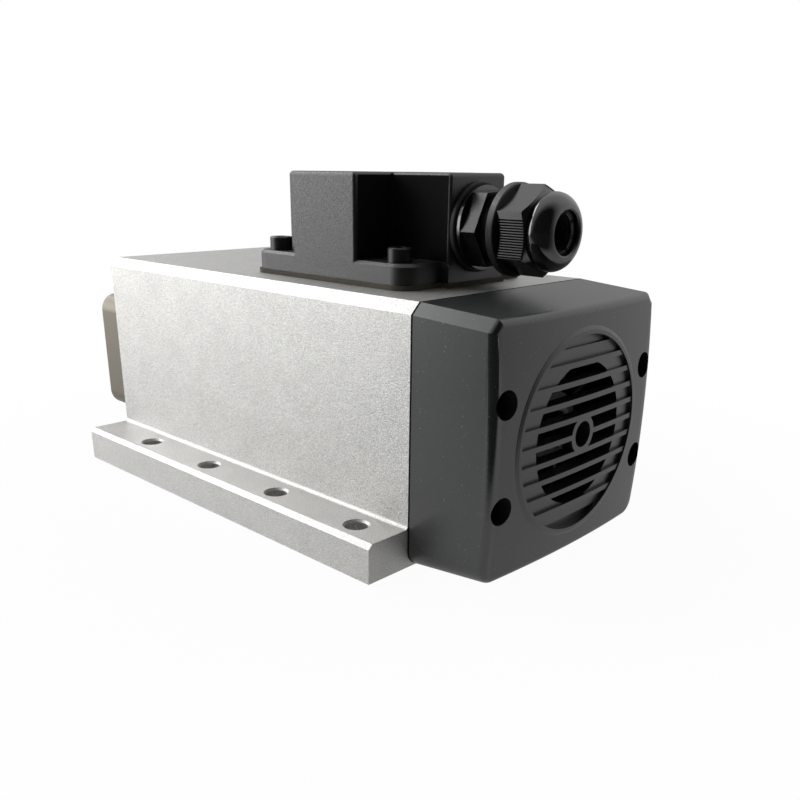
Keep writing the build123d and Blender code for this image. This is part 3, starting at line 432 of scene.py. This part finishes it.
plain_metals = {
    "black_steel": dict(dark=(0.022, 0.022, 0.023), pale=(0.045, 0.045, 0.047), rough=0.34, metallic=0.6),
    "electrical_steel": dict(dark=(0.20, 0.21, 0.23), pale=(0.30, 0.31, 0.33), rough=0.45),
    # cast_aluminium is darker than the bare metal, as painted shade, since its parts sit inside the
    # motor.
    "cast_aluminium": dict(dark=(0.17, 0.17, 0.175), pale=(0.25, 0.25, 0.255), rough=0.5),
    "spring_steel": dict(dark=(0.05, 0.05, 0.06), pale=(0.09, 0.09, 0.10), rough=0.35),
    "brass_plated": dict(dark=(0.58, 0.52, 0.36), pale=(0.74, 0.68, 0.50), rough=0.26),
}
for name, look in plain_metals.items():
    materials[name] = plain_metal(name, **look)

machined_steels = {
    "turned_steel": dict(dark=(0.46, 0.46, 0.47), pale=(0.62, 0.62, 0.63), rough=0.28),
    "bearing_steel": dict(dark=(0.58, 0.58, 0.60), pale=(0.70, 0.70, 0.72), rough=0.16),
    "ground_steel": dict(dark=(0.50, 0.50, 0.52), pale=(0.64, 0.64, 0.66), rough=0.20),
}
for name, look in machined_steels.items():
    materials[name] = machined_steel(name, **look)

plastics = {
    "charcoal_plastic": dict(
        dark=(0.013, 0.0155, 0.015),
        pale=(0.026, 0.030, 0.029),
        etch_size=0.22 * mm,
        etch_depth=0.02 * mm,
        rough=(0.30, 0.40),
        gloss=0.9,
        dust=0.4,
        painted_shade=cover_seam,
        wear=cover_wear,
    ),
    "black_plastic": dict(
        dark=(0.005, 0.005, 0.005),
        pale=(0.012, 0.012, 0.012),
        etch_size=0.34 * mm,
        etch_depth=0.05 * mm,
        rough=(0.42, 0.56),
        gloss=0.82,
        painted_shade=box_recesses,
    ),
    "gland_nylon": dict(
        dark=(0.006, 0.006, 0.006),
        pale=(0.010, 0.010, 0.010),
        etch_size=0.5 * mm,
        etch_depth=0.005 * mm,
        rough=(0.18, 0.24),
        gloss=1.0,
        painted_shade=gland_grooves,
        wear=gland_wear,
    ),
    "insert_nylon": dict(
        dark=(0.17, 0.17, 0.165),
        pale=(0.23, 0.23, 0.222),
        etch_size=0.5 * mm,
        etch_depth=0.01 * mm,
        rough=(0.35, 0.45),
    ),
    "fan_plastic": dict(
        dark=(0.010, 0.010, 0.010),
        pale=(0.020, 0.020, 0.020),
        etch_size=0.3 * mm,
        etch_depth=0.02 * mm,
        rough=(0.4, 0.55),
    ),
    "terminal_plastic": dict(
        dark=(0.62, 0.61, 0.56),
        pale=(0.74, 0.73, 0.68),
        etch_size=0.5 * mm,
        etch_depth=0.02 * mm,
        rough=(0.4, 0.5),
    ),
    "lead_insulation": dict(
        dark=(0.36, 0.025, 0.02),
        pale=(0.48, 0.04, 0.03),
        etch_size=0.4 * mm,
        etch_depth=0.02 * mm,
        rough=(0.45, 0.6),
    ),
    "black_rubber": dict(
        dark=(0.045, 0.040, 0.030),
        pale=(0.110, 0.097, 0.074),
        etch_size=0.3 * mm,
        etch_depth=0.05 * mm,
        rough=(0.75, 0.92),
    ),
    "seal_rubber": dict(
        dark=(0.010, 0.010, 0.010),
        pale=(0.022, 0.022, 0.022),
        etch_size=0.4 * mm,
        etch_depth=0.03 * mm,
        rough=(0.6, 0.8),
    ),
}
for name, look in plastics.items():
    materials[name] = moulded_plastic(name, **look)

for part in frame["record"]["subparts"]:
    slots = nodes[part["node"]].data.materials
    slots.clear()
    slots.append(materials[part["material_slot"]])

# The clamping fingers are of a paler nylon than the rest of the gland.
nodes["gland_claw"].data.materials[0] = materials["insert_nylon"]


def piece(name, points, faces, body, slot, finish=None, smooth=False):
    """A mesh of the scene's own, which rides on a body of the spindle."""
    mesh = bpy.data.meshes.new(name)
    mesh.from_pydata(points, [], faces)
    mesh.materials.append(finish or materials[slot])
    if smooth:
        mesh.shade_smooth()
    made = bpy.data.objects.new(name, mesh)
    bpy.context.scene.collection.objects.link(made)
    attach(made, body)


def around(centre, along, radius, turn):
    """A point at a place along an axis, a radius from it and an angle round it."""
    return (along, centre.y + radius * cos(turn), centre.z + radius * sin(turn))


def joined(first, second, size):
    """Faces between two closed outlines of size points each, numbered on from first and second."""
    faces = []
    for number in range(size):
        after = (number + 1) % size
        faces.append((first + number, second + number, second + after, first + after))
    return faces


def turned_ring(profile, centre, steps=96):
    """Points and faces of a closed profile of (place along the axis, radius), turned about the axis."""
    size = len(profile)
    points = []
    faces = []
    for step in range(steps):
        turn = 2 * pi * step / steps
        points.extend(around(centre, along, radius, turn) for along, radius in profile)
        faces.extend(joined(size * step, size * ((step + 1) % steps), size))
    return points, faces


nut_low, nut_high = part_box("gland_cap_nut")
gland_centre = (nut_low + nut_high) / 2


def gland_mouth_lip():
    """The rounded lip that narrows the cap nut's mouth."""
    mouth_radius = 6.3 * mm
    front = nut_high.x
    wall = 0.55 * mm
    overlap = 0.05 * mm
    depth = 1.1 * mm
    round_steps = 6
    profile = [(front - depth, mouth_radius + overlap), (front - depth, mouth_radius - wall)]
    for step in range(round_steps + 1):
        turn = pi / 2 * step / round_steps
        along = front - overlap - wall * (1 - sin(turn))
        profile.append((along, mouth_radius - wall * cos(turn)))
    profile.append((front - 2 * overlap, mouth_radius + overlap))
    points, faces = turned_ring(profile, gland_centre)
    piece("gland_mouth_lip", points, faces, "gland_nut", "gland_nylon", smooth=True)


def gland_finger_tips():
    """Tips of the eight clamping fingers, bent in behind the mouth."""
    count = 8
    steps = 6
    first_turn = radians(10)
    span = radians(32)
    claw_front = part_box("gland_claw")[1].x
    back = claw_front - 0.4 * mm
    middle = claw_front + 0.45 * mm
    front = claw_front + 0.75 * mm
    section = [
        (back, 6.9 * mm),
        (back, 5.9 * mm),
        (middle, 4.9 * mm),
        (front, 5.1 * mm),
        (middle, 6.2 * mm),
    ]
    size = len(section)
    points = []
    faces = []
    for finger in range(count):
        start = len(points)
        end = start + steps * size
        for step in range(steps + 1):
            turn = 2 * pi * finger / count + first_turn + span * (step / steps - 0.5)
            points.extend(around(gland_centre, along, radius, turn) for along, radius in section)
        for ring in range(start, end, size):
            faces.extend(joined(ring, ring + size, size))
        faces.append(tuple(range(start, start + size)))
        faces.append(tuple(reversed(range(end, end + size))))
    finish = materials["insert_nylon"]
    piece("gland_finger_tips", points, faces, "gland_insert", "gland_nylon", finish=finish)


def half_chord(radius, height):
    """Half the width of a circle at a height from its centre."""
    return sqrt(radius**2 - height**2)


def dome_face(radius):
    """Place along the spindle of the fan cover's domed face, at a radius from the axis."""
    return dome_top - dome_radius + half_chord(dome_radius, radius)


def grille_rim_slope():
    """Soft outer slope of the raised rim round the grille."""
    inner = 28.25 * mm
    outer = 29.5 * mm
    rise = 0.35 * mm
    sunk = 0.3 * mm
    crest_width = 0.2 * mm
    crest_share = 0.9
    foot_width = 0.3 * mm
    foot_share = 0.15
    profile = [
        (dome_face(inner) - sunk, inner),
        (dome_face(inner) + rise, inner),
        (dome_face(inner) + rise * crest_share, inner + crest_width),
        (dome_face(outer) + rise * foot_share, outer - foot_width),
        (dome_face(outer), outer),
        (dome_face(outer) - sunk, outer),
    ]
    points, faces = turned_ring(profile, Vector((0, 0, spindle_height)), steps=160)
    piece("grille_rim_slope", points, faces, "housing", "charcoal_plastic", smooth=True)


def grille_floor():
    """Shallow floor of the grille between its bars, outside the round air opening."""
    depth = 0.9 * mm
    thickness = 1.15 * mm
    overlap = 0.05 * mm
    steps = 10
    points = []
    faces = []

    def plate(outline):
        """A plate of the outline of (y, z) under the domed face."""
        start = len(points)
        size = len(outline)
        for sunk in (depth, depth + thickness):
            for y, z in outline:
                points.append((dome_face(sqrt(y * y + z * z)) - sunk, y, spindle_height + z))
        faces.append(tuple(range(start, start + size)))
        faces.append(tuple(reversed(range(start + size, start + 2 * size))))
        faces.extend(joined(start, start + size, size))

    outermost = (grille_bars + 1) // 2
    for gap in range(-outermost, outermost):
        low = gap * grille_pitch + grille_bar / 2 - overlap
        high = (gap + 1) * grille_pitch - grille_bar / 2 + overlap
        heights = [low + (high - low) * step / steps for step in range(steps + 1)]
        outer = [(half_chord(grille_radius + overlap, height), height) for height in heights]
        if min(abs(low), abs(high)) > open_radius:
            plate(outer + [(-y, z) for y, z in reversed(outer)])
        else:
            inner = [(half_chord(open_radius, height), height) for height in heights]
            plate(outer + inner[::-1])
            plate([(-y, z) for y, z in inner + outer[::-1]])
    piece("grille_floor", points, faces, "housing", "charcoal_plastic")


gland_mouth_lip()
gland_finger_tips()
grille_floor()
grille_rim_slope()


def floor():
    """A plain pale sheet: the object's shadow shows on it, and it looks white beside that."""
    half = 3.0
    sheet_height = -0.2 * mm
    brightness = 0.9
    mirror_share = 0.6
    near_share = 0.965
    away_fade = (0.09, 0.22)
    mesh = bpy.data.meshes.new("floor")
    corners = [(-half, -half), (half, -half), (half, half), (-half, half)]
    mesh.from_pydata([(x, y, sheet_height) for x, y in corners], [], [(0, 1, 2, 3)])
    finish = Finish(bpy.data.materials.new("floor"), Roughness=0.9)
    camera, mirror = finish.looked_at()
    level = finish.fade(finish.place(), dim_corner, start=0.13, end=0.18, level=dim_level)
    shade = (1 - mirror * (1 - level)) * brightness
    finish.surface(Base_Color=finish.mix(shade, (0.0, 0.0, 0.0), (1.0, 1.0, 1.0)))
    plain_white = finish.node("ShaderNodeEmission", {}, {"Strength": 1.0})
    away = finish.measure("LENGTH", finish.place())
    seen = (camera + mirror * level * mirror_share) * finish.band(away, *away_fade, near_share, 1.0)
    finish.partly(seen, plain_white)
    mesh.materials.append(finish.owner)
    plane = bpy.data.objects.new("floor", mesh)
    bpy.context.scene.collection.objects.link(plane)


def studio_world():
    """White where something looks at it, and a plain soft level as light."""
    bpy.context.scene.world = bpy.data.worlds.new("studio")
    finish = Finish(bpy.context.scene.world)
    camera, mirror = finish.looked_at()
    corner = finish.fade(finish.direction(), dim_corner, start=0.05, end=0.5, level=dim_level)
    left = finish.fade(finish.direction(), far_left, start=0.6, end=0.9, level=far_left_level)
    strength = sky_light + camera * (1 - sky_light) + mirror * (corner * left - sky_light)
    background = finish.tree.nodes["Background"]
    finish.plug(background.inputs["Color"], (1, 1, 1, 1))
    finish.plug(background.inputs["Strength"], strength)


def area_lamp(name, place, target, size, power):
    """A soft rectangular lamp that faces a target."""
    light = bpy.data.lights.new(name, "AREA")
    light.shape = "RECTANGLE"
    light.size, light.size_y = size
    light.energy = power
    lamp = bpy.data.objects.new(name, light)
    lamp.location = place
    direction = Vector(target) - Vector(place)
    lamp.rotation_euler = direction.to_track_quat("-Z", "Y").to_euler()
    bpy.context.scene.collection.objects.link(lamp)


def camera():
    """The photograph's view, found from the straight edges of the housing."""
    data = bpy.data.cameras.new("camera")
    data.sensor_width = 36.0
    data.lens = 37.888
    data.shift_y = 0.1025
    data.clip_start = 0.01
    eye = bpy.data.objects.new("camera", data)
    eye.location = (0.21021, -0.19529, 0.10395)
    eye.rotation_euler = (radians(69.68), radians(-0.62), radians(43.77))
    bpy.context.scene.collection.objects.link(eye)
    bpy.context.scene.camera = eye


floor()
studio_world()
middle = (0.0, 0.0, spindle_height)
area_lamp("key", place=(-0.55, -0.48, 0.21), target=middle, size=(0.6, 0.42), power=2.9)
area_lamp("softbox", place=(-0.54, -0.13, 0.54), target=middle, size=(0.45, 0.4), power=2.6)
camera()
bpy.context.scene.view_settings.view_transform = "Standard"
